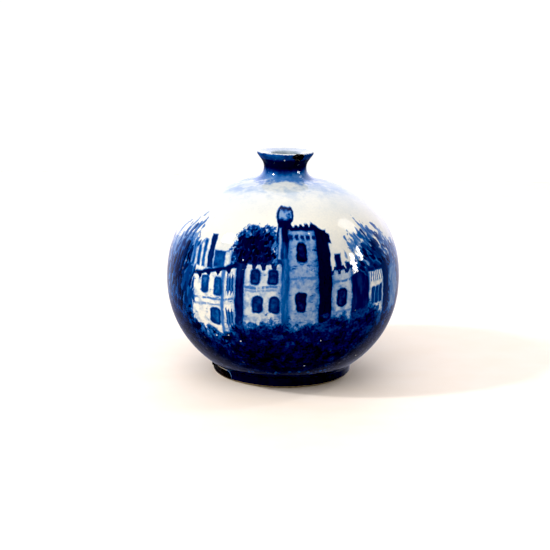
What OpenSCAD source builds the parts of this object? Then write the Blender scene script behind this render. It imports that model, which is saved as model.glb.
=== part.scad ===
// Miniature globular vase: four clay sections luted together with slip and coated in glaze.
// Millimetres. +Z is up, and the origin is the centre of the circle that the foot stands on.
// Every section is a revolved outline. Outlines are drawn as [radius, height] points.

/* [Body] */
// Widest diameter of the glazed body
body_d = 64; // [58:1:80]
// Height of the widest circle above the table
equator_z = 26; // [25:0.5:27]
// Height of the body's upper oval above the widest circle
crown_h = 28.2; // [27:0.2:31]
// Depth of the body's lower oval below the widest circle
belly_h = 28.8; // [28.4:0.2:30]
// Squareness of the shoulder, where 2 is an ellipse
crown_n = 2.3; // [2:0.05:2.5]
// Squareness of the belly, where 2 is an ellipse
belly_n = 2.05; // [2:0.05:2.3]

/* [Walls] */
// Thickness of the clay wall
wall_t = 2.6; // [2:0.1:3.4]
// Thickness of the fired glaze
glaze_t = 0.25; // [0.15:0.05:0.35]
// Thickness of the slip in a luted joint
slip_t = 0.2; // [0.1:0.05:0.3]
// Height of the tongue where the two halves of the body overlap
lap_h = 2; // [1:0.5:3]
// Height of the floor inside the vase, above the table
floor_z = 5.4; // [5:0.2:8]

/* [Neck] */
// Angle on the body's outline where the neck's curve begins
neck_a = 77.5; // [76:0.5:79]
// Radius of the hollow curve between shoulder and lip
neck_hollow_r = 3.2; // [2.8:0.1:3.6]
// Angle that the curve turns past the waist before it runs straight to the lip
flare_turn = 36; // [28:1:44]
// Length of the straight part of the flare
flare_len = 2; // [1.6:0.1:2.6]
// Radius of the lip's rounded edge
lip_round = 0.5; // [0.4:0.05:0.6]
// Slope of the lip's top face down towards the hole
lip_dish = 10; // [4:1:16]
// Radius of the glazed throat
throat_r = 4; // [3.4:0.1:4.3]
// Radius of the neck's spigot in the shoulder
spigot_r = 6.6; // [6.2:0.1:6.9]

/* [Foot] */
// Angle on the body's outline where the foot's curve begins
foot_a = -52.1; // [-53:0.1:-51.5]
// Radius of the hollow curve between body and foot
foot_hollow_r = 1; // [0.8:0.1:1.2]
// Outer radius of the glazed foot, at the glaze line
foot_r = 19.4; // [19.2:0.1:20]
// Inner radius of the foot ring, at its top
foot_in_r = 16.2; // [15:0.1:16.4]
// Height of the glaze line above the table
glaze_line_z = 0.7; // [0.5:0.1:1]
// Height of the base's clay underside above the table
base_z = 2.6; // [2.5:0.1:2.8]

/* [Wear] */
// Direction of the flaked patch's right end, anticlockwise from +X
flake_a = -134; // [-160:1:-100]
// Angle that the flaked patch spans round the foot
flake_span = 62; // [20:1:90]
// Depth of the flaked patch, from the glaze's surface
flake_depth = 0.45; // [0.3:0.05:0.6]
// Direction of the nick in the lip
nick_a = -53; // [-90:1:90]
// Radius of the nick's hollow
nick_r = 1.5; // [1:0.1:1.8]

/* [Hidden] */
$fn = 96;

body_r = body_d / 2;
step_a = 3; // angle between points on a long curve
lining_d = glaze_t + wall_t + glaze_t; // from the outer surface in to the lining's surface
clay_in_d = glaze_t + wall_t; // from the outer surface in to the clay's inner surface

// The body's outline is a superellipse, with one half above the equator and another below it.
function side(a) = a < 0 ? -1 : 1;
function half_h(a) = a < 0 ? belly_h : crown_h;
function half_n(a) = a < 0 ? belly_n : crown_n;
function on_oval(a) = [pow(cos(a), 2 / half_n(a)), pow(abs(sin(a)), 2 / half_n(a))];

// Outward normal of the body's outline at angle a
function body_normal(a) =
    let (
        p = on_oval(a),
        n = half_n(a) - 1,
        g = [pow(p[0], n) / body_r, side(a) * pow(p[1], n) / half_h(a)]
    ) g / norm(g);

// Point of the body's outline at angle a, moved d into the wall
function body_point(a, d = 0) =
    let (p = on_oval(a))
    [body_r * p[0], equator_z + side(a) * half_h(a) * p[1]] - d * body_normal(a);

// The angle between lo and hi where body_point's coordinate k is the value v
function body_angle(k, v, d, lo, hi, left = 40) =
    let (m = (lo + hi) / 2, rising = body_point(hi, d)[k] > body_point(lo, d)[k])
    left == 0 ? m
    : (body_point(m, d)[k] > v) == rising ? body_angle(k, v, d, lo, m, left - 1)
    : body_angle(k, v, d, m, hi, left - 1);

// Points of the body's outline from angle a to angle b, moved d into the wall
function body_path(a, b, d) =
    let (n = ceil(abs(b - a) / step_a)) [for (i = [0:n]) body_point(a + (b - a) * i / n, d)];

// Points of an arc round c from angle a to angle b
function arc(c, r, a, b, step = 9) =
    let (n = ceil(abs(b - a) / step))
    [for (i = [0:n]) let (t = a + (b - a) * i / n) c + r * [cos(t), sin(t)]];

function reversed(path) = [for (i = [len(path) - 1:-1:0]) path[i]];
function direction(v) = atan2(v[1], v[0]);

// Centres of the curves that join body to neck, lip and foot
neck_c = body_point(neck_a, -neck_hollow_r);
neck_start = 360 + direction(-body_normal(neck_a));
flare_a = 180 - flare_turn;
flare_dir = [sin(flare_a), -cos(flare_a)];
flare_out = -[cos(flare_a), sin(flare_a)];
flare_end = neck_c - neck_hollow_r * flare_out + flare_len * flare_dir;
lip_c = flare_end - lip_round * flare_out;
crest_a = 90;
dish_a = crest_a + lip_dish;

hole_round = 0.8;
hole_c_r = throat_r + hole_round;
hole_c = [
    hole_c_r,
    lip_c[1] - (hole_round - lip_round - (lip_c[0] - hole_c_r) * cos(dish_a)) / sin(dish_a)
];

throat_end_round = 0.6;
throat_end_r = throat_r + throat_end_round;
ceiling_a = body_angle(0, throat_end_r, lining_d, 45, 89.9);
throat_end_c = [throat_end_r, body_point(ceiling_a, lining_d)[1] + throat_end_round];

foot_c = body_point(foot_a, -foot_hollow_r);
foot_end = direction(-body_normal(foot_a));
foot_wall_r = foot_c[0] - foot_hollow_r;
foot_top_z = base_z - slip_t;

// Angle on the foot's hollow curve, at depth d in the wall, where its height is z
function foot_angle(z, d) = 180 - asin((z - foot_c[1]) / (foot_hollow_r + d));
// Angle on the neck's hollow curve, at depth d in the wall, where its radius is r
function neck_angle(r, d) = 180 + acos((neck_c[0] - r) / (neck_hollow_r + d));

// The outside, from angle a on the foot's hollow curve up to angle b on the neck's, at depth d
function shell_path(a, b, d) = concat(
    arc(foot_c, foot_hollow_r + d, a, foot_end),
    body_path(foot_a, neck_a, d),
    arc(neck_c, neck_hollow_r + d, neck_start, b)
);

// The lip, from the hollow curve's angle a to the crest, at depth d
function lip_path(a, d) = concat(
    arc(neck_c, neck_hollow_r + d, a, flare_a),
    arc(lip_c, lip_round - d, direction(flare_out), crest_a, 18)
);

// The mouth, from the lip's crest down the throat to the cavity, at depth e under the lining's surface
function mouth_path(e) = concat(
    arc(lip_c, lip_round - e, crest_a, dish_a),
    arc(hole_c, hole_round - e, dish_a, 180, 18),
    arc(throat_end_c, throat_end_round - e, 180, 270, 18)
);

// The cavity's wall, from angle a on the body's outline down to the floor, at depth e
function cavity_path(a, e) =
    let (b = body_angle(1, floor_z - e, lining_d - e, -80, 0))
    concat(body_path(a, b, lining_d - e), [[0, floor_z - e]]);

joint_r = body_r - glaze_t - wall_t / 2;
lap_a = body_angle(1, equator_z + lap_h, clay_in_d, 0, 30);
collar_r = spigot_r + slip_t;

function ceiling_point(r) = [r, body_point(body_angle(0, r, clay_in_d, 45, 89.9), clay_in_d)[1]];
function collar_point(r) = [r, neck_c[1] + (neck_hollow_r + glaze_t) * sin(neck_angle(r, glaze_t))];

// The patch of glaze and clay that has flaked off the foot's outside
module foot_flake() {
    low = glaze_line_z + 0.1;
    high = base_z + 0.15;
    rotate([0, 0, flake_a - flake_span])
        rotate_extrude(angle = flake_span)
            translate([foot_wall_r - flake_depth, low])
                square([flake_depth + 2, high - low]);
}

// The nick knocked out of the lip's outer edge
module lip_nick() {
    rotate([0, 0, nick_a])
        translate([lip_c[0] + lip_round + 0.5, 0, lip_c[1] - 0.4])
            sphere(r = nick_r);
}

module foot_ring() {
    edge_r = foot_r - glaze_t;
    color("tan")
        difference() {
            rotate_extrude()
                polygon(concat(
                    [[edge_r - 0.65, 0], [edge_r - 0.2, 0.2], [edge_r, glaze_line_z]],
                    arc(foot_c, foot_hollow_r + glaze_t, 180, foot_angle(foot_top_z, glaze_t)),
                    [[foot_in_r, foot_top_z], [foot_in_r + 0.3, 0.9]],
                    [[foot_in_r + 0.45, 0.2], [foot_in_r + 0.8, 0]]
                ));
            foot_flake();
        }
}

module lower_bowl() {
    ledge_z = equator_z - slip_t;
    ledge_a = body_angle(1, ledge_z, glaze_t, -20, 0);
    color("wheat")
        difference() {
            rotate_extrude()
                polygon(concat(
                    arc(foot_c, foot_hollow_r + glaze_t, foot_angle(base_z, glaze_t), foot_end),
                    body_path(foot_a, ledge_a, glaze_t),
                    [[joint_r, ledge_z], [joint_r, equator_z + lap_h]],
                    cavity_path(lap_a, glaze_t),
                    [[0, base_z]]
                ));
            foot_flake();
        }
}

module upper_bowl() {
    color("antiquewhite")
        rotate_extrude()
            polygon(concat(
                body_path(0, neck_a, glaze_t),
                arc(neck_c, neck_hollow_r + glaze_t, neck_start, neck_angle(collar_r, glaze_t)),
                body_path(body_angle(0, collar_r, clay_in_d, 45, 89.9), lap_a, clay_in_d),
                [[joint_r, equator_z + lap_h], [joint_r, equator_z]]
            ));
}

module neck() {
    color("linen")
        difference() {
            rotate_extrude()
                polygon(concat(
                    lip_path(neck_angle(spigot_r, glaze_t), glaze_t),
                    mouth_path(glaze_t),
                    [ceiling_point(spigot_r)]
                ));
            lip_nick();
        }
}

module foot_joint_slip() {
    color("white")
        difference() {
            rotate_extrude()
                polygon(concat(
                    arc(foot_c, foot_hollow_r + glaze_t,
                        foot_angle(foot_top_z, glaze_t), foot_angle(base_z, glaze_t), 3),
                    [[foot_in_r, base_z], [foot_in_r, foot_top_z]]
                ));
            foot_flake();
        }
}

module waist_joint_slip() {
    color("white")
        translate([0, 0, equator_z - slip_t])
            difference() {
                cylinder(h = slip_t, r = body_r - glaze_t);
                translate([0, 0, -1])
                    cylinder(h = slip_t + 2, r = joint_r);
            }
}

module neck_joint_slip() {
    color("white")
        rotate_extrude()
            polygon([
                ceiling_point(spigot_r), ceiling_point(collar_r),
                collar_point(collar_r), collar_point(spigot_r)
            ]);
}

module outer_glaze() {
    function skin_path(d) = concat(
        [[foot_r - d, glaze_line_z]],
        shell_path(180, 200, d),
        lip_path(190, d)
    );
    color("royalblue")
        difference() {
            rotate_extrude()
                polygon(concat(skin_path(0), reversed(skin_path(glaze_t))));
            foot_flake();
            lip_nick();
        }
}

module inner_glaze() {
    function lining_path(e) = concat(mouth_path(e), cavity_path(ceiling_a, e));
    color("ivory")
        difference() {
            rotate_extrude()
                polygon(concat(lining_path(0), reversed(lining_path(glaze_t))));
            lip_nick();
        }
}

module base_glaze() {
    color("ghostwhite")
        rotate_extrude()
            polygon([
                [0, base_z], [foot_in_r, base_z], [foot_in_r, foot_top_z],
                [foot_in_r + 0.3, 0.9], [foot_in_r + 0.3 - glaze_t, 0.9],
                [foot_in_r - glaze_t, base_z - glaze_t], [0, base_z - glaze_t]
            ]);
}

foot_ring();
lower_bowl();
upper_bowl();
neck();
foot_joint_slip();
waist_joint_slip();
neck_joint_slip();
outer_glaze();
inner_glaze();
base_glaze();
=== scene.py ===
import math

import bmesh
import bpy
from mathutils import Matrix, Quaternion, Vector, noise


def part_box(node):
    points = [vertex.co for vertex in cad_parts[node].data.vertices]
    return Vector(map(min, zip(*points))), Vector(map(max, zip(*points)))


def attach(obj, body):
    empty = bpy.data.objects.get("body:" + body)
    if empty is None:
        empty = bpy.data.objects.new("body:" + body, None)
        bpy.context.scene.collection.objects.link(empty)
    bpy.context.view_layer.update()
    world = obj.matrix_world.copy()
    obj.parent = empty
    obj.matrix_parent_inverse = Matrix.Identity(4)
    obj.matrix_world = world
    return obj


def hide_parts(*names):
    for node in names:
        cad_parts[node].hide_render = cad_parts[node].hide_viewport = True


# A miniature globular vase, painted in cobalt blue under a clear glaze, on a white table.
# The painting is a made-up castle among trees. Sizes are in millimetres until MM turns them into metres.

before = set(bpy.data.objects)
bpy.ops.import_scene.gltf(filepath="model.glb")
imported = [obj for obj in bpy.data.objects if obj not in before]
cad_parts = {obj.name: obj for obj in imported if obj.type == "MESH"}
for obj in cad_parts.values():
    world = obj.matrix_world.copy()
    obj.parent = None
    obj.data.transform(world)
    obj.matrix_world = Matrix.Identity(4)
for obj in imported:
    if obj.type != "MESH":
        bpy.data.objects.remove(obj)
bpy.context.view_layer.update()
scene = bpy.context.scene

MM = 0.001
TOP_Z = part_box("outer_glaze")[1].z / MM
GIRTH_R = 32.0  # the painting's distances to left and right are arcs of a circle of this radius
NICK_A = -61.0  # where the lip is nicked, in degrees anticlockwise from +X
NICK_R, NICK_Z = 8.3, 59.8  # the middle of the nick
NICK_SIZE = (1.5, 1.9, 2.3)  # half its depth, width and height
NICK_U = math.radians(NICK_A + 90) * GIRTH_R
FLAKE_A = (-176, -133)  # where the foot is flaked, from end to end
FLAKE_Z = (0.35, 3.0)  # its lower edge, and its top in the middle less FLAKE_LEAST
FLAKE_LEAST = 0.1  # its height at its ends
FLAKE_R, FLAKE_DEPTH = 19.4, 0.8  # the radius that it is cut in from, and how far in
FLAKE_ARCH = 5.0  # how squarely its top comes down to its ends: 2 would be half an ellipse
SHELL_WALL = 2  # how far past the foot's face its cutter reaches
SAME_RING = 0.004  # vertices nearer than this in radius and height are on one ring of a turned node
LAMP_RANGE = 600.0  # how far the lamps stand from LOOK_AT
TABLE_GAP = 0.02  # between the foot and the table
TABLE_SIZE = (2000, 1370)
TABLE_FORWARD = 300  # how far the table's middle is in front of the vase
CLAY_PALE, CLAY_DARK = (160, 144, 110), (98, 86, 58)
SLIP_PALE, SLIP_DARK = (226, 216, 194), (196, 184, 158)
GLOSS_IOR = 1.38

# ---------------------------------------------------------------- camera

CAMERA_DISTANCE = 320
CAMERA_HEIGHT_A = 13
CAMERA_ROLL = 1.1
LENS, SENSOR = 75.5, 36
LOOK_AT = Vector((0, 0, 26))  # inside the vase: the camera and the lamps are placed round this point
LOOK_LEFT, LOOK_UP = 2.2, 0.55  # how far to the left of it and above it the camera aims


def make_camera():
    """The camera, in front of the vase and a little above it."""
    data = bpy.data.cameras.new("camera")
    data.lens = LENS
    data.sensor_width = SENSOR
    data.clip_start = 0.01
    camera = bpy.data.objects.new("camera", data)
    scene.collection.objects.link(camera)
    a = math.radians(CAMERA_HEIGHT_A)
    place = LOOK_AT + CAMERA_DISTANCE * Vector((0, -math.cos(a), math.sin(a)))
    aim = LOOK_AT + Vector((-LOOK_LEFT, LOOK_UP * math.sin(a), LOOK_UP * math.cos(a)))
    camera.location = place * MM
    camera.rotation_mode = "QUATERNION"
    roll = Quaternion((0, 0, 1), math.radians(CAMERA_ROLL))
    camera.rotation_quaternion = (aim - place).to_track_quat("-Z", "Y") @ roll
    scene.camera = camera


# ---------------------------------------------------------------- light and table

KEY, FILL = (-70.5, 39.9), (102.0, 44.6)  # azimuths and heights in degrees
PANE_ASPECT = 0.32
GLINTS = [  # name, azimuth, height, radius as an angle, radiance and, unless it is round, aspect
    ("key_glint", *KEY, 5.6, 110.0), ("fill_glint", *FILL, 8.5, 5.2),
    ("near_pane", 73.7, 16.4, 9.0, 45.0, PANE_ASPECT), ("far_pane", 85.0, 20.0, 7.0, 45.0, PANE_ASPECT),
]
BOXES = [
    ("key_box", *KEY, 2.2, 335.0), ("fill_box", *FILL, 3.0, 52.0), ("front_box", -15.0, 58.0, 22.0, 1.6),
    ("back_box", 180.0, 38.0, 22.0, 1.6), ("low_box", -76.0, 20.0, 7.0, 10.0),
]


def direction(azimuth, height):
    """Unit vector towards an azimuth, from the front round by the right, and a height, in degrees."""
    a, e = math.radians(azimuth), math.radians(height)
    return Vector((math.sin(a) * math.cos(e), -math.cos(a) * math.cos(e), math.sin(e)))


def make_lamp(name, azimuth, height, radius_a, radiance, aspect=1.0):
    """A flat lamp that faces the vase: round, or with an aspect, upright and that wide for its height.
    radius_a is half its height as an angle in degrees, seen from the vase."""
    size = 2 * LAMP_RANGE * math.tan(math.radians(radius_a)) * MM
    data = bpy.data.lights.new(name, "AREA")
    data.shape = "ELLIPSE" if aspect == 1.0 else "RECTANGLE"
    data.size, data.size_y = size * aspect, size
    area = math.pi / 4 * size * size if aspect == 1.0 else size * size * aspect
    data.energy = radiance * math.pi * area
    lamp = bpy.data.objects.new(name, data)
    scene.collection.objects.link(lamp)
    towards = direction(azimuth, height)
    lamp.location = (LOOK_AT + towards * LAMP_RANGE) * MM
    lamp.rotation_mode = "QUATERNION"
    lamp.rotation_quaternion = towards.to_track_quat("Z", "Y")
    return lamp


# ---------------------------------------------------------------- fields: arithmetic on node sockets

class Field:
    """A number that varies over a surface. Arithmetic on it adds Math nodes to its node tree."""

    def __init__(self, socket):
        self.socket = socket

    def __add__(self, other):
        return calc("ADD", self, other)

    def __radd__(self, other):
        return calc("ADD", other, self)

    def __sub__(self, other):
        return calc("SUBTRACT", self, other)

    def __rsub__(self, other):
        return calc("SUBTRACT", other, self)

    def __mul__(self, other):
        return calc("MULTIPLY", self, other)

    def __rmul__(self, other):
        return calc("MULTIPLY", other, self)

    def __truediv__(self, other):
        return calc("DIVIDE", self, other)


def add_node(tree, kind, **settings):
    """A new node of a tree, with its settings."""
    made = tree.nodes.new(kind)
    for key, value in settings.items():
        setattr(made, key, value)
    return made


def feed(socket, value):
    """Links a field to a socket, or sets the socket to a constant."""
    if isinstance(value, Field):
        socket.id_data.links.new(value.socket, socket)
    else:
        socket.default_value = value


def calc(operation, *values):
    """A Math node's result from fields and numbers. At least one of them is a field."""
    tree = next(v.socket.id_data for v in values if isinstance(v, Field))
    made = add_node(tree, "ShaderNodeMath", operation=operation)
    for socket, value in zip(made.inputs, values):
        feed(socket, value)
    return Field(made.outputs[0])


def least(a, b):
    return calc("MINIMUM", a, b)


def most(a, b):
    return calc("MAXIMUM", a, b)


def size_of(a):
    return calc("ABSOLUTE", a)


def fraction(a):
    return calc("FRACT", a)


def fade(a, zero_at, one_at):
    """0 where a is zero_at, 1 where it is one_at, and a smooth step between them."""
    made = add_node(a.socket.id_data, "ShaderNodeMapRange", interpolation_type="SMOOTHSTEP")
    for name, value in (("Value", a), ("From Min", zero_at), ("From Max", one_at)):
        feed(made.inputs[name], value)
    return Field(made.outputs[0])


def mix(a, b, t):
    """a where t is 0, and b where it is 1."""
    made = add_node(t.socket.id_data, "ShaderNodeMix", data_type="FLOAT")
    for socket, value in zip((made.inputs[0], made.inputs[2], made.inputs[3]), (t, a, b)):
        feed(socket, value)
    return Field(made.outputs[0])


def combine(tree, x, y, z):
    """A vector from three fields or numbers."""
    made = add_node(tree, "ShaderNodeCombineXYZ")
    for socket, value in zip(made.inputs, (x, y, z)):
        feed(socket, value)
    return Field(made.outputs[0])


def cloud(vector, scale, detail=2.0, roughness=0.5, offset=0.0):
    """Soft noise about 0.5. scale is in lumps per unit of vector."""
    tree = vector.socket.id_data
    if offset:
        moved = add_node(tree, "ShaderNodeVectorMath", operation="ADD")
        feed(moved.inputs[0], vector)
        moved.inputs[1].default_value = (offset, offset * 0.7, -offset)
        vector = Field(moved.outputs[0])
    made = add_node(tree, "ShaderNodeTexNoise")
    feed(made.inputs["Vector"], vector)
    made.inputs["Scale"].default_value = scale
    made.inputs["Detail"].default_value = detail
    made.inputs["Roughness"].default_value = roughness
    return Field(made.outputs["Factor"] if "Factor" in made.outputs else made.outputs[0])


def cells(vector, scale):
    """Distance to the nearest of a scatter of points, and that point's random colour's red."""
    tree = vector.socket.id_data
    made = add_node(tree, "ShaderNodeTexVoronoi")
    feed(made.inputs["Vector"], vector)
    made.inputs["Scale"].default_value = scale
    split = add_node(tree, "ShaderNodeSeparateColor")
    tree.links.new(made.outputs["Color"], split.inputs[0])
    return Field(made.outputs["Distance"]), Field(split.outputs[0])


def ramp(a, stops):
    """A colour for a field, blended between (position, sRGB colour out of 255) stops."""
    made = add_node(a.socket.id_data, "ShaderNodeValToRGB")
    feed(made.inputs[0], a)
    elements = made.color_ramp.elements
    while len(elements) < len(stops):
        elements.new(0.5)
    for element, (position, colour) in zip(elements, stops):
        element.position = position
        element.color = srgb(*colour)
    return Field(made.outputs[0])


def srgb(r, g, b):
    """A linear colour with alpha, from an sRGB colour out of 255."""
    def linear(c):
        c /= 255
        return c / 12.92 if c <= 0.04045 else ((c + 0.055) / 1.055) ** 2.4
    return (linear(r), linear(g), linear(b), 1.0)


class Surface:
    """A new material, with the fields that a painting on a round pot needs."""

    def __init__(self, name):
        self.material = bpy.data.materials.new(name)
        self.material.use_nodes = True
        self.tree = self.material.node_tree
        self.shader = self.tree.nodes["Principled BSDF"]
        coordinates = add_node(self.tree, "ShaderNodeTexCoord")
        scaled = add_node(self.tree, "ShaderNodeVectorMath", operation="SCALE")
        self.tree.links.new(coordinates.outputs["Object"], scaled.inputs[0])
        scaled.inputs["Scale"].default_value = 1 / MM
        self.place = Field(scaled.outputs[0])
        split = add_node(self.tree, "ShaderNodeSeparateXYZ")
        feed(split.inputs[0], self.place)
        self.x, self.y, self.z = (Field(s) for s in split.outputs)

    def set(self, **sockets):
        """Feeds the shader's sockets. Their names have underscores for spaces here."""
        for name, value in sockets.items():
            feed(self.shader.inputs[name.replace("_", " ")], value)

    def bump(self, height, distance, *sockets):
        """Bump from a height field, where 1 stands for distance millimetres."""
        made = add_node(self.tree, "ShaderNodeBump")
        made.inputs["Distance"].default_value = distance * MM
        feed(made.inputs["Height"], height)
        for name in sockets:
            self.tree.links.new(made.outputs[0], self.shader.inputs[name])


# ---------------------------------------------------------------- the painting

INK = [  # how blue a thickness of cobalt looks under the glaze
    (0.00, (227, 223, 212)), (0.08, (205, 207, 204)), (0.18, (172, 184, 196)), (0.30, (124, 149, 184)),
    (0.44, (66, 114, 174)), (0.58, (24, 80, 147)), (0.70, (10, 49, 111)), (0.80, (9, 30, 80)),
    (0.90, (9, 17, 50)), (1.00, (8, 11, 30)),
]
SOFT = (0.36, -0.24)  # how far outside and inside an edge the paint has flowed, in millimetres


class Painting:
    """Thickness of cobalt over the pot. u runs to the right round the girth and v up, in millimetres, both a
    little unsteady, as a hand is. bearing is u without that."""

    def __init__(self, surface):
        tree, place = surface.tree, surface.place
        self.surface, self.tree = surface, tree
        self.bearing = calc("ARCTAN2", surface.x, surface.y * -1.0) * GIRTH_R
        self.u = self.bearing + (cloud(place, 0.3, 4, 0.65) - 0.5) * 1.5
        self.v = surface.z + (cloud(place, 0.3, 4, 0.65, offset=31) - 0.5) * 1.5
        self.streaks = cloud(combine(tree, self.u * 1.5, self.v * 0.35, 3.0), 0.6, 3, 0.6)
        self.blots = cloud(place, 0.4, 3, 0.65, offset=17)
        self.grain = cloud(place, 1.7, 2, 0.6, offset=7)
        wet = cloud(place, 0.5, 3, 0.6, offset=41)
        near, chance, tone = self.dabs(4, 1.9, 0.5, offset=61)
        courses = fade(near, 0.5, 0.2) * fade(chance, 0.8, 0.84) * fade(wet, 0.4, 0.6) * tone * 0.3
        self.wash = (fade(wet, 0.4, 0.7) * 0.2 + (self.blots - 0.5) * 0.24 + (self.grain - 0.5) * 0.08
                     + courses)
        self.ink = None

    def lay(self, mask, ink):
        """Paints over what is there."""
        self.ink = mix(self.ink, ink, mask)

    def add(self, mask, ink):
        """Adds to what is there."""
        self.ink = self.ink + mask * ink

    def box(self, left, right, low, high, u=None, v=None):
        """How far outside a rectangle a point is: negative inside it."""
        u, v = u or self.u, v or self.v
        across = size_of(u - (left + right) / 2) - (right - left) / 2
        return most(across, size_of(v - (low + high) / 2) - (high - low) / 2)

    def block(self, left, right, low, high, ink, lean=0.0):
        """A plain rectangle of paint. lean tilts it, to the left per mm up."""
        u = self.u + (self.v - low) * lean if lean else self.u
        self.lay(fade(self.box(left, right, low, high, u=u), *SOFT), ink)

    def teeth(self, pitch, share=0.5, start=0.0):
        """1 on the teeth of a battlement and 0 between them."""
        wave = size_of(fraction((self.u - start) / pitch + (self.blots - 0.5) * 0.5) - 0.5)
        return fade(wave, share / 2 + 0.12, share / 2 - 0.1)

    def wall(self, left, right, low, high, ink, pitch=0.0, tooth=1.2, lean=0.0):
        """A wall. With a pitch, its top has teeth and a dark line along them. lean tilts the top."""
        v = self.v - (self.u - right) * lean if lean else self.v
        over = v - (self.teeth(pitch, start=left) * tooth + high) if pitch else v - high
        across = size_of(self.u - (left + right) / 2) - (right - left) / 2
        shade = fade(across, -1.3, 0.1) * self.streaks * 0.34
        self.lay(fade(most(most(across, over), low - self.v), *SOFT), self.wash + shade + ink)
        if pitch:
            edge = fade(size_of(over - 0.1), 0.75, 0.25) * fade(across, 0.3, 0.0)
            self.lay(edge, self.blots * 0.2 + 0.7)

    def window(self, across, up, wide, tall, ink=0.9, pair=0.0):
        """A dark window with a paler pane, or with pair, two of them with their middles pair apart."""
        u, v = self.u - across + (self.blots - 0.5) * 0.6, self.v - up + (self.streaks - 0.5) * 0.6
        if pair:
            u = size_of(u) - pair / 2
        corner = 0.34 * wide
        du = most(size_of(u) - (wide / 2 - corner), 0.0)
        dv = most(size_of(v) - (tall / 2 - corner), 0.0)
        outside = calc("SQRT", du * du + dv * dv) - corner
        pane = fade(outside, -0.2, -0.8) * fade(self.blots, 0.35, 0.65) * 0.2
        self.lay(fade(outside, 0.4, -0.25), ink - pane)

    def line(self, left, right, height, ink, thick=0.5, lean=0.0):
        """A horizontal line, broken where the brush ran dry."""
        v = self.v - (self.u - left) * lean if lean else self.v
        outside = self.box(left, right, height - thick / 2, height + thick / 2, v=v)
        self.lay(fade(outside, 0.25, -0.15) * fade(self.streaks, 0.3, 0.5), ink)

    def dabs(self, tilt, long, wide, offset=0.0):
        """Brush dabs: how far from the middle of its dab a point is, and two random numbers for that dab."""
        c, s = math.cos(math.radians(tilt)), math.sin(math.radians(tilt))
        along = (self.u * c + self.v * s) / long
        across = (self.v * c - self.u * s) / wide
        made = add_node(self.tree, "ShaderNodeTexVoronoi", voronoi_dimensions="2D")
        feed(made.inputs["Vector"], combine(self.tree, along + offset, across - offset, 0.0))
        made.inputs["Scale"].default_value = 1.0
        split = add_node(self.tree, "ShaderNodeSeparateColor")
        self.tree.links.new(made.outputs["Color"], split.inputs[0])
        return Field(made.outputs["Distance"]), Field(split.outputs[0]), Field(split.outputs[1])

    def foliage(self, depth, tilt, coats, long=2.2, wide=0.8):
        """Leaves laid on in coats of dabs. depth is how far inside the tree's outline a point is, and each
        coat is (how deep it starts, how deep it is solid, its ink)."""
        self.lay(fade(depth + (self.blots - 0.5) * 4, coats[1][1], coats[2][1]), coats[1][2])
        for number, (start, solid, ink) in enumerate(coats):
            near, chance, tone = self.dabs(tilt + 9 * number, long, wide, offset=13.7 * (number + 1))
            laid = fade(depth - start - chance * (solid - start), -0.3, 0.3)
            self.lay(laid * fade(near, 0.75, 0.4), ink + (tone - 0.5) * 0.2)


def paint_sky(p):
    """Bare glaze, with thin grey-blue washes of cloud towards the neck."""
    high = fade(p.surface.z, 44.0, 54.0)
    drift = cloud(p.surface.place, 0.09, 3, 0.55, offset=9)
    shoulder = fade(size_of(p.u), 8.0, 26.0) * fade(p.surface.z + (p.blots - 0.5) * 4, 43.0, 50.0)
    p.ink = fade(drift, 0.4, 0.75) * high * 0.12 + high * 0.04 + shoulder * 0.04 + p.blots * 0.02
    p.add(fade(p.surface.z, 46.0, 38.0) * p.blots, 0.12)


def paint_far_trees(p):
    """Woods behind the castle and round to the back."""
    top = 39.0 + (cloud(p.surface.place, 0.07, 3, 0.6, offset=12) - 0.5) * 22
    depth = least(top - p.v, size_of(p.u) - 27.0)
    coats = [(0.0, 2.0, 0.42), (0.6, 4.0, 0.6), (2.0, 7.0, 0.76), (4.0, 11.0, 0.9)]
    p.foliage(depth, 80, coats, long=1.9, wide=0.9)


def crown(p, across, up, half_wide, half_tall):
    """How far inside a tree's outline a point is: an arch, straight-sided below up."""
    du, dv = (p.u - across) / half_wide, most(p.v - up, 0.0) / half_tall
    return (1.0 - calc("SQRT", du * du + dv * dv)) * min(half_wide, half_tall)


def paint_near_trees(p):
    """Tall trees at both ends of the castle, and a round one behind the centre block."""
    ragged = (cloud(p.surface.place, 0.3, 3, 0.6, offset=27) - 0.5) * 6
    p.foliage(crown(p, 28.5, 33.0, 13.0, 13.0) + ragged, -62,
              [(-0.5, 7.0, 0.42), (0.4, 8.0, 0.56), (2.0, 10.0, 0.68), (4.0, 12.0, 0.8)], long=2.7, wide=0.9)
    p.foliage(crown(p, -33.0, 32.0, 10.5, 14.0) + ragged, 56,
              [(-0.5, 4.4, 0.4), (0.2, 5.6, 0.54), (1.4, 7.0, 0.7), (3.0, 9.0, 0.88)], long=2.7, wide=0.9)
    p.foliage(most(crown(p, -8.8, 38.4, 6.4, 6.8), crown(p, -4.7, 41.0, 3.4, 5.0)) + ragged * 0.7, 35,
              [(-0.6, 0.8, 0.5), (-0.2, 1.5, 0.68), (0.4, 2.2, 0.84), (1.2, 3.4, 0.97)], long=1.2)


def paint_back_wing(p):
    """A gabled wing behind the castle on the left, with a chimney."""
    p.wall(-28.0, -14.5, 30.0, 38.2, 0.06)
    for across, top in ((-27.0, 39.6), (-25.0, 38.8), (-23.0, 40.6)):
        p.block(across - 0.55, across + 0.45, 34.0, top, 0.36 + p.streaks * 0.5, lean=0.12)
    p.block(-21.4, -19.7, 34.0, 42.0, 0.62 + p.streaks * 0.4, lean=0.12)
    p.block(-19.4, -15.9, 34.4, 38.4, 0.4 + p.blots * 0.5, lean=0.08)


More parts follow.
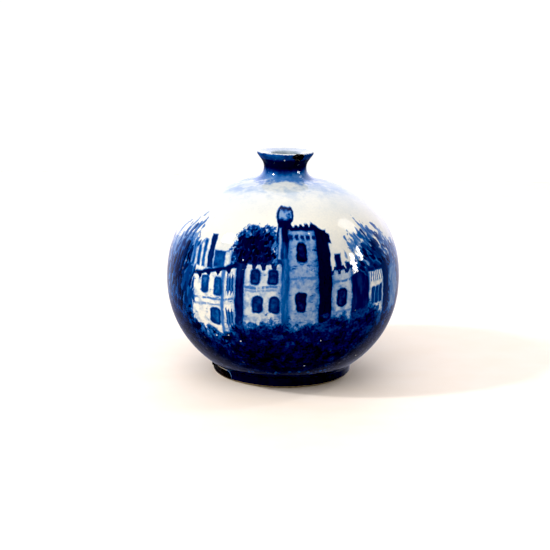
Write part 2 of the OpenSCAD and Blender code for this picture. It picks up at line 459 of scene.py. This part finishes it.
def paint_turret(p):
    """A slim round turret with a wider, toothed head."""
    p.block(-2.0, 2.2, 41.0, 46.6, 0.62 + p.streaks * 0.5)
    p.block(-1.6, 1.5, 36.0, 41.6, 0.44 + p.streaks * 0.6)
    p.lay(fade(p.box(-1.5, -0.6, 37.4, 44.8), 0.3, -0.4), 0.14 + p.blots * 0.4)
    du, dv = most(size_of(p.u - 0.3) - 1.7, 0.0), most(size_of(p.v - 47.6) - 0.5, 0.0)
    head = calc("SQRT", du * du + dv * dv) - (1.1 + p.teeth(1.9, start=-2.4) * 0.16)
    p.lay(fade(head, *SOFT), 0.8 + p.blots * 0.14)
    p.lay(fade(head, -0.3, -1.1) * fade(p.blots, 0.68, 0.42), 0.14 + p.streaks * 0.3)
    p.block(-1.8, 2.2, 45.3, 46.2, 0.9)


def paint_tower(p):
    """The main tower, with a dark side and an overhanging battlement."""
    side_ink = 0.88 + p.streaks * 0.14
    p.block(9.0, 12.9, 15.0, 44.0, side_ink)
    roof = most(p.v - (45.6 - (p.u - 9.0) * 0.5), 41.0 - p.v)
    p.lay(fade(most(roof, size_of(p.u - 11.4) - 2.5), *SOFT), side_ink)
    p.wall(1.5, 9.3, 15.0, 44.4, 0.24 + fade(p.v, 24.0, 36.0) * 0.06 + fade(p.v, 27.0, 17.0) * 0.06)
    bump = p.teeth(1.7, 0.62, start=1.2)
    p.lay(fade(p.box(1.0, 9.6, 42.0, 43.0), 0.45, -0.3) * bump, 0.8)
    crest = size_of(p.v - 44.5 - bump * 0.25) - (bump * 0.25 + 0.36)
    p.lay(fade(most(size_of(p.u - 5.4) - 4.5, crest), *SOFT), 0.9)
    p.lay(fade(p.box(6.4, 9.0, 34.4, 37.0), 0.6, -0.6) * fade(p.grain + p.blots, 1.0, 1.12), 0.5)
    p.line(1.8, 9.2, 32.9, 0.5)
    p.line(2.0, 8.0, 21.6, 0.42)
    p.window(5.0, 39.0, 2.7, 4.6, ink=0.98)
    p.window(4.6, 26.9, 2.7, 4.8, ink=0.94)
    p.block(-0.5, 1.6, 16.0, 37.5, 0.36 + p.streaks * 0.5)


def paint_centre_block(p):
    """Two storeys between the tower and a dark recess."""
    p.wall(-10.2, -0.4, 15.5, 35.2, 0.12, pitch=2.6, tooth=1.3)
    p.line(-10.0, -0.8, 30.2, 0.5, lean=0.05, thick=0.6)
    p.line(-9.6, -0.8, 29.4, 0.36, lean=0.05)
    p.window(-4.8, 33.0, 2.5, 3.7, ink=0.84, pair=4.7)
    p.window(-4.2, 26.0, 2.6, 4.3, ink=0.82, pair=4.4)
    p.block(-12.5, -10.1, 15.5, 36.2, 0.62 + p.streaks * 0.4)


def paint_left_wing(p):
    """A lower wing that runs away to the left."""
    p.wall(-27.5, -12.4, 14.5, 35.2, 0.0, lean=0.24)
    drips = p.teeth(3.1, 0.36, start=-28.4)
    eaves = size_of(p.v - (p.u + 12.4) * 0.24 - 35.2 + drips * 0.5) - (0.42 + drips * 0.5)
    p.lay(fade(most(eaves, size_of(p.u + 20.4) - 8.2), *SOFT), 0.86)
    p.line(-25.5, -12.6, 25.6, 0.46, lean=0.1)
    p.line(-25.5, -15.6, 24.0, 0.34, lean=0.1)
    for low, high in ((29.0, 33.2), (20.4, 24.6)):
        slats = size_of(fraction(p.u / 0.8) - 0.5)
        ragged = p.box(-14.9, -12.7, low, high, v=p.v + slats * 3.0 + (p.streaks - 0.5) * 2)
        p.lay(fade(ragged, *SOFT), 0.74 - slats * 0.5)
    p.block(-16.4, -15.6, 15.5, 34.0, 0.3 + p.streaks * 0.4)
    p.window(-19.5, 29.6, 2.4, 4.6, ink=0.72, pair=4.2)
    p.window(-18.2, 21.6, 3.2, 4.4, ink=0.76)
    fringe = p.box(-31.0, -25.2, 16.0, 34.6)
    near, chance, tone = p.dabs(75, 3.0, 0.8, offset=5.3)
    p.lay(fade(fringe + chance * 1.6, 0.6, -0.2) * fade(near, 0.9, 0.55), 0.6 + tone * 0.26)


def paint_right_wing(p):
    """A lower wing to the right: a toothed block, a gabled bay in shadow, and an end block."""
    p.wall(12.9, 19.2, 15.5, 33.9, 0.22, pitch=2.2, tooth=1.1)
    p.block(14.3, 15.9, 34.6, 38.4, 0.86)
    p.block(17.2, 18.2, 34.4, 36.2, 0.8)
    p.line(13.0, 19.0, 31.8, 0.5)
    p.line(13.4, 18.4, 23.6, 0.42, lean=0.1)
    p.window(15.8, 27.6, 2.9, 4.3)
    gable = 34.4 - size_of(p.u - 21.2) * 0.8
    p.lay(fade(most(most(size_of(p.u - 21.7) - 3.0, p.v - gable), 14.5 - p.v), *SOFT), 0.62 + p.streaks * 0.4)
    p.lay(fade(p.box(20.4, 22.4, 24.0, 27.4), *SOFT), 0.84)
    p.wall(24.6, 31.0, 15.0, 33.2, 0.06)
    p.line(24.4, 31.4, 33.6, 0.8, thick=0.9)
    hatch = fade(size_of(fraction(p.u / 0.9) - 0.5), 0.3, 0.12) * fade(p.box(25.0, 30.6, 30.6, 33.2), *SOFT)
    p.lay(hatch, 0.52)
    for across in (26.3, 27.9, 29.5):
        p.window(across, 26.9, 1.3, 4.6, ink=0.74)
    p.block(31.0, 33.6, 15.0, 34.6, 0.8)
    p.lay(fade(p.box(34.6, 40.0, 17.0, 33.0) + (p.blots - 0.5) * 3, 0.8, -0.8), 0.1 + p.streaks * 0.6)


def paint_shrubs(p):
    """Shrubs along the castle's foot all the way round, darker towards the table."""
    place = p.surface.place
    leafy = cloud(place, 0.42, 4, 0.68, offset=19)
    dip = fade(size_of(p.u + 19.0), 9.0, 3.0) * 5.0
    top = 22.2 - dip + (cloud(place, 0.14, 3, 0.6, offset=3) - 0.5) * 11 + (leafy - 0.5) * 9
    shade = fade(p.surface.z, 20.0, 8.0) * 0.14
    p.lay(fade(top - p.v, -1.0, 0.3) * 0.85, 0.5 + p.grain * 0.34)
    mottle = (leafy - 0.5) * 0.9 + (p.grain - 0.5) * 0.35 + (p.blots - 0.5) * 0.4
    p.lay(fade(top - p.v + (p.grain - 0.5) * 3, 0.4, 1.8), 0.82 + mottle + shade)


def paint_foot(p):
    """Near black on the foot, a row of paler dabs above it, and a painted highlight: a pale line along the
    flake's top, where the broken glaze edge catches the light.
    """
    z = p.surface.z
    p.lay(fade(z, 7.0, 4.5), 0.85 + p.streaks * 0.14)
    near, chance, tone = p.dabs(0, 1.7, 0.8, offset=33)
    row = fade(near, 0.45, 0.25) * fade(chance, 0.6, 0.66) * fade(size_of(z - 5.4), 1.3, 0.4)
    p.lay(row, 0.58 + tone * 0.24)
    ends = [math.radians(a + 90) * GIRTH_R for a in FLAKE_A]
    side = size_of((p.bearing - sum(ends) / 2) / ((ends[1] - ends[0]) / 2))
    arch = calc("SQRT", most(1.0 - calc("POWER", side, FLAKE_ARCH), 0.0))
    above = z - FLAKE_Z[0] - arch * (FLAKE_Z[1] - FLAKE_Z[0])
    # painted highlight: the pale line where the flake's broken glaze edge catches the light
    p.lay(fade(size_of(above - 0.25), 0.3, 0.12) * fade(side, 1.03, 1.0), 0.2 + p.grain * 0.4)


def paint_neck(p):
    """Strong blue under the lip, running down in washes to the shoulder."""
    z, place = p.surface.z, p.surface.place
    patch = cloud(place, 0.22, 4, 0.62, offset=23)
    edge = z + (patch - 0.5) * 3.0
    p.add(fade(edge, 50.2, 52.4), 0.03 + fade(patch, 0.42, 0.58) * 0.1)
    p.lay(fade(edge, 53.1, 54.0), 0.12 + patch * 0.36 + p.blots * 0.36)
    p.lay(fade(edge, 54.8, 57.6), 0.86 + patch * 0.14)
    p.lay(fade(z + (p.blots - 0.5) * 2, 58.8, 59.6), 0.3 + patch * 0.36 + p.blots * 0.4)
    p.lay(fade(size_of(p.u - NICK_U) + (p.blots - 0.5) * 2, 5.0, 2.5) * fade(z, 56.6, 58.2), 1.0)
    p.lay(fade(z + (p.grain - 0.5) * 0.5, TOP_Z - 0.26, TOP_Z - 0.1), 0.08)


def painted_glaze():
    """Clear gloss glaze over the painting, with white specks of painted highlight."""
    s = Surface("painted_glaze")
    p = Painting(s)
    for paint in (
            paint_sky, paint_far_trees, paint_near_trees, paint_back_wing, paint_turret, paint_tower,
            paint_centre_block, paint_left_wing, paint_right_wing, paint_shrubs, paint_foot, paint_neck):
        paint(p)
    p.ink = p.ink + (p.grain - 0.5) * 0.08
    # painted highlights: small white specks laid into the colour, in place of tiny glints of the lamps on the
    # glaze
    near, chance = cells(s.place, 0.3)
    p.lay(fade(near + p.grain * 0.1, 0.13, 0.1) * fade(chance, 0.76, 0.78), 0.0)
    s.set(Base_Color=ramp(p.ink, INK), Roughness=0.5, Specular_IOR_Level=0.0)
    gloss(s, 1.0 - fade(s.z, 55.4, 57.0) * 0.75)
    return s.material


def gloss(s, weight=1.0):
    """The clear coat: a hard gloss with a faint ripple, and a pimple here and there."""
    near, chance = cells(s.place, 0.36)
    pimple = fade(near, 0.16, 0.0) * fade(chance, 0.35, 0.4)
    ripple = cloud(s.place, 0.5, 2, 0.5)
    s.set(Coat_Weight=weight, Coat_Roughness=0.02, Coat_IOR=GLOSS_IOR)
    s.bump(ripple * 0.07 + pimple * 0.4, 1.0, "Coat Normal")


def white_glaze():
    """White gloss glaze, coloured a mottled blue-grey all over: partly the faint blue of the painter's wash
    over the lip, and partly painted shade that darkens the white.
    """
    s = Surface("white_glaze")
    patch = cloud(s.place, 0.5, 3, 0.6)
    # painted shade: these greys darken the white glaze so that the lit inside of the lip looks dim
    s.set(Base_Color=ramp(patch, [(0.35, (166, 175, 181)), (0.5, (148, 161, 171)), (0.65, (128, 144, 160))]),
          Roughness=0.5, Specular_IOR_Level=0.0)
    gloss(s)
    return s.material


def fired_clay(name, pale, dark):
    """Matt fired earthenware."""
    s = Surface(name)
    speckle = cloud(s.place, 1.2, 4, 0.7)
    s.set(Base_Color=ramp(speckle, [(0.3, dark), (0.65, pale)]), Roughness=0.85, Specular_IOR_Level=0.3)
    s.bump(speckle, 0.12, "Normal")
    return s.material


def stained_and_shaded_chip():
    """A broken surface with paler flecks, near black partly from old dirt and partly from painted shade of
    the chips' shadowed hollows.
    """
    s = Surface("stained_and_shaded_chip")
    speckle = cloud(s.place, 1.5, 4, 0.7)
    # painted shade: the near-black tones darken the chips past their stain, for the shade in their hollows
    s.set(Base_Color=ramp(speckle, [(0.4, (4, 3, 6)), (0.62, (28, 20, 16)), (0.75, (104, 86, 68))]),
          Roughness=0.6, Specular_IOR_Level=0.2)
    s.bump(speckle, 0.3, "Normal")
    return s.material


def table_top():
    """A matt white table."""
    s = Surface("table_top")
    fleck = cloud(s.place, 0.12, 4, 0.6)
    s.set(Base_Color=ramp(fleck, [(0.3, (247, 233, 220)), (0.7, (249, 237, 227))]), Roughness=0.6,
          Specular_IOR_Level=0.2)
    return s.material


# ---------------------------------------------------------------- turned pieces

def rings_of(node):
    """A turned CAD node's outline as (radius, height) points in order, and whether it closes on itself. It is
    read from the back of the mesh, where nothing is chipped."""
    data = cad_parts[node].data
    rings, ring_of = [], {}
    for vertex in data.vertices:
        x, y, z = vertex.co
        if y < abs(x):
            continue
        here = (math.hypot(x, y), z)
        for index, ring in enumerate(rings):
            if abs(ring[0] - here[0]) + abs(ring[1] - here[1]) < SAME_RING * MM:
                break
        else:
            index = len(rings)
            rings.append(here)
        ring_of[vertex.index] = index
    beside = {i: set() for i in range(len(rings))}
    for edge in data.edges:
        a, b = (ring_of.get(v) for v in edge.vertices)
        if a is not None and b is not None and a != b:
            beside[a].add(b)
            beside[b].add(a)
    ends = [i for i in beside if len(beside[i]) == 1]
    order = [ends[0] if ends else 0]
    while True:
        after = [i for i in beside[order[-1]] if i not in order]
        if not after:
            return [rings[i] for i in order], not ends
        order.append(after[0])


def smooth_outline(points, closed, step, corner_a=30):
    """The outline with a smooth curve between its corners, and a point about every step."""
    n = len(points)
    at = [Vector(p) for p in points]

    def turn(i):
        a, b = at[i] - at[i - 1], at[(i + 1) % n] - at[i]
        return math.degrees(a.angle(b)) if a.length > 1e-9 and b.length > 1e-9 else 0

    corners = [i for i in range(n) if turn(i) > corner_a or (not closed and i in (0, n - 1))]
    made = []
    for k in range(n if closed else n - 1):
        i, j = k, (k + 1) % n
        before = at[i] * 2 - at[j] if i in corners else at[i - 1]
        after = at[j] * 2 - at[i] if j in corners else at[(j + 1) % n]
        count = max(1, math.ceil((at[j] - at[i]).length / step))
        for m in range(count):
            made.append(spline(before, at[i], at[j], after, m / count))
    if not closed:
        made.append(at[-1])
    return made


def spline(a, b, c, d, t):
    """A point of the cardinal curve from b to c, with tangents scaled to the points' spacing."""
    length = (c - b).length
    into = ((b - a).normalized() + (c - b).normalized()) * length / 2
    out = ((c - b).normalized() + (d - c).normalized()) * length / 2
    h = t * t * (3 - 2 * t)
    return b * (1 - h) + c * h + into * (t * (1 - t) ** 2) - out * (t * t * (1 - t))


def polar(radius, azimuth, height):
    """A point from its radius, its azimuth anticlockwise from +X in degrees, and its height."""
    a = math.radians(azimuth)
    return Vector((radius * math.cos(a), radius * math.sin(a), height))


def new_piece(name, edit, material):
    """An object made from a bmesh, with its faces turned outwards."""
    bmesh.ops.recalc_face_normals(edit, faces=edit.faces)
    mesh = bpy.data.meshes.new(name)
    edit.to_mesh(mesh)
    edit.free()
    mesh.materials.append(material)
    piece = bpy.data.objects.new(name, mesh)
    scene.collection.objects.link(piece)
    return piece


def join_rows(edit, rows, closed):
    """Faces between neighbouring rows of vertices. closed also joins each row's last vertex to its first."""
    for one, two in zip(rows, rows[1:]):
        for k in range(len(one) if closed else len(one) - 1):
            after = (k + 1) % len(one)
            edit.faces.new((one[k], two[k], two[after], one[after]))


def turn_on_wheel(name, node, material, step=0.5, around=384, wobble=0.04, corner_a=30):
    """A piece turned to a CAD node's outline, with a potter's slight unevenness. It replaces the node. A flat
    face that crosses the axis isn't in the outline, so the piece is open there."""
    points, closed = rings_of(node)
    outline = smooth_outline([(r / MM, z / MM) for r, z in points], closed, step, corner_a)
    edit = bmesh.new()
    rows = []
    for i in range(around):
        a = 360 * i / around
        row = []
        for r, z in outline:
            at = polar(r, a, z)
            swell = noise.noise(at * 0.09) + 0.25 * noise.noise(at * 0.4)
            row.append(edit.verts.new(polar(r + wobble * swell * min(1, r / 4), a, z) * MM))
        rows.append(row)
    join_rows(edit, rows + rows[:1], closed)
    bmesh.ops.remove_doubles(edit, verts=edit.verts, dist=1e-7)
    piece = new_piece(name, edit, material)
    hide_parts(node)
    return piece


def finish_piece(piece, cutters=(), sharp_a=35):
    """Cuts the chips out of a piece, smooths its shading and puts it on the body."""
    for cutter in cutters:
        cut = piece.modifiers.new("chip", "BOOLEAN")
        cut.operation, cut.solver, cut.object = "DIFFERENCE", "MANIFOLD", cutter
        cut.material_mode = "TRANSFER"
    bpy.context.view_layer.update()
    made = bpy.data.meshes.new_from_object(piece.evaluated_get(bpy.context.evaluated_depsgraph_get()))
    piece.modifiers.clear()
    piece.data = made
    made.name = piece.name
    for polygon in made.polygons:
        polygon.use_smooth = True
    made.set_sharp_from_angle(angle=math.radians(sharp_a))
    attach(piece, "root")


def lump(name, at, size, turn_a, roughness, material, seed=0.0):
    """A rough lump, to cut a chip with. size is its half extents."""
    edit = bmesh.new()
    bmesh.ops.create_icosphere(edit, subdivisions=5, radius=1)
    turned = Matrix.Rotation(math.radians(turn_a), 3, "Z")
    for vertex in edit.verts:
        out = vertex.co.copy()
        rough = noise.fractal(out * 1.8 + Vector((seed, 0, 0)), 1.0, 2.2, 4) * roughness
        shaped = Vector(a * b for a, b in zip(out, size)) * (1 + rough)
        vertex.co = (at + turned @ shaped) * MM
    return new_piece(name, edit, material)


def shell(name, ends_a, radius, depth, low, high, material, seed=0.0):
    """A rough curved scallop, to flake glaze off the foot with. Its top arches down near low at both ends."""
    edit = bmesh.new()
    around, up = 90, 12
    rows = []
    for i in range(around + 1):
        t = i / around
        a = ends_a[0] + (ends_a[1] - ends_a[0]) * t
        arch = (1 - abs(2 * t - 1) ** FLAKE_ARCH) ** 0.5
        row = []
        for j in range(up + 1):
            at = polar(radius, a, low + (FLAKE_LEAST + (high - low) * arch) * j / up)
            rough = noise.fractal(at * 0.9 + Vector((seed, 0, 0)), 1.0, 2.1, 4)
            bite = depth * (1 + 0.3 * rough) * min(1, 2 * arch)
            row.append(polar(radius - bite, a, at.z))
        outside = [polar(radius + SHELL_WALL, a, row[k].z) for k in (up, 0)]
        rows.append([edit.verts.new(point * MM) for point in row + outside])
    join_rows(edit, rows, True)
    edit.faces.new(rows[0])
    edit.faces.new(reversed(rows[-1]))
    bmesh.ops.triangulate(edit, faces=edit.faces)
    return new_piece(name, edit, material)


def clothe(material, *nodes):
    """Gives CAD nodes a material."""
    for node in nodes:
        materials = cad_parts[node].data.materials
        materials.clear()
        materials.append(material)


# ---------------------------------------------------------------- the vase

def make_vase():
    """The turned pieces, and materials on the CAD nodes that stay. The nick goes through the lip's outer
    glaze and clay, and the flake through the foot's."""
    white, clay, chip = white_glaze(), fired_clay("fired_clay", CLAY_PALE, CLAY_DARK), stained_and_shaded_chip()
    nick = lump("nick", polar(NICK_R, NICK_A, NICK_Z), NICK_SIZE, NICK_A, 0.4, chip, seed=2.0)
    flake = shell("flake", FLAKE_A, FLAKE_R, FLAKE_DEPTH, *FLAKE_Z, chip, seed=4.0)
    outer = turn_on_wheel("outer_glaze_skin", "outer_glaze", painted_glaze())
    inner = turn_on_wheel("inner_glaze_skin", "inner_glaze", white, step=0.8, around=256)
    neck = turn_on_wheel("neck_clay", "neck", clay, step=0.4, around=192)
    foot = turn_on_wheel("foot_ring_clay", "foot_ring", clay, step=0.4, corner_a=18)
    finish_piece(outer, (nick, flake))
    finish_piece(inner)
    finish_piece(neck, (nick,))
    finish_piece(foot, (flake,))
    for cutter in (nick, flake):
        bpy.data.objects.remove(cutter)
    clothe(clay, "lower_bowl", "upper_bowl")
    clothe(fired_clay("slip", SLIP_PALE, SLIP_DARK), "foot_joint_slip", "waist_joint_slip", "neck_joint_slip")
    clothe(white, "base_glaze")


# ---------------------------------------------------------------- the room

def make_table():
    """A table top just under the foot, that the glaze doesn't mirror."""
    bpy.ops.mesh.primitive_plane_add(size=1, location=(0, -TABLE_FORWARD * MM, -TABLE_GAP * MM))
    table = bpy.context.object
    table.name = "table"
    table.scale = (TABLE_SIZE[0] * MM, TABLE_SIZE[1] * MM, 1)
    table.data.materials.append(table_top())
    table.visible_glossy = False


def make_lamps():
    """Glints are lamps that gloss mirrors and that light nothing matt. Boxes are the other way round."""
    for glint in GLINTS:
        make_lamp(*glint).visible_diffuse = False
    for box in BOXES:
        make_lamp(*box).visible_glossy = False


def make_room():
    """A pale room. What the glaze mirrors of it is dark, except for the wall behind the vase."""
    world = bpy.data.worlds.new("room")
    scene.world = world
    world.use_nodes = True
    tree = world.node_tree
    coordinates = add_node(tree, "ShaderNodeTexCoord")
    split = add_node(tree, "ShaderNodeSeparateXYZ")
    tree.links.new(coordinates.outputs["Generated"], split.inputs[0])
    behind, above = Field(split.outputs[1]), Field(split.outputs[2])
    dome = fade(above, -0.2, 0.9) * 0.7 + 0.17
    wall = fade(behind + above * 0.5, 0.45, 1.05) * fade(above, -0.5, 0.2) * 2.0
    mirrored = wall + fade(behind, 0.1, 0.9) * 0.36 + 0.01
    path = add_node(tree, "ShaderNodeLightPath")
    glossy_ray, camera_ray = Field(path.outputs["Is Glossy Ray"]), Field(path.outputs["Is Camera Ray"])
    background = tree.nodes["Background"]
    feed(background.inputs["Strength"], mix(mix(dome, mirrored, glossy_ray), 1.05, camera_ray))
    feed(background.inputs["Color"], ramp(glossy_ray, [(0.0, (255, 254, 252)), (1.0, (220, 219, 243))]))


def set_view():
    """Colours as they are, with blacks a touch deeper."""
    view = scene.view_settings
    view.view_transform = "Standard"
    view.use_curve_mapping = True
    view.curve_mapping.black_level = (0.01, 0.01, 0.01)
    view.curve_mapping.update()


make_camera()
make_vase()
make_table()
make_lamps()
make_room()
set_view()

bpy.context.view_layer.update()
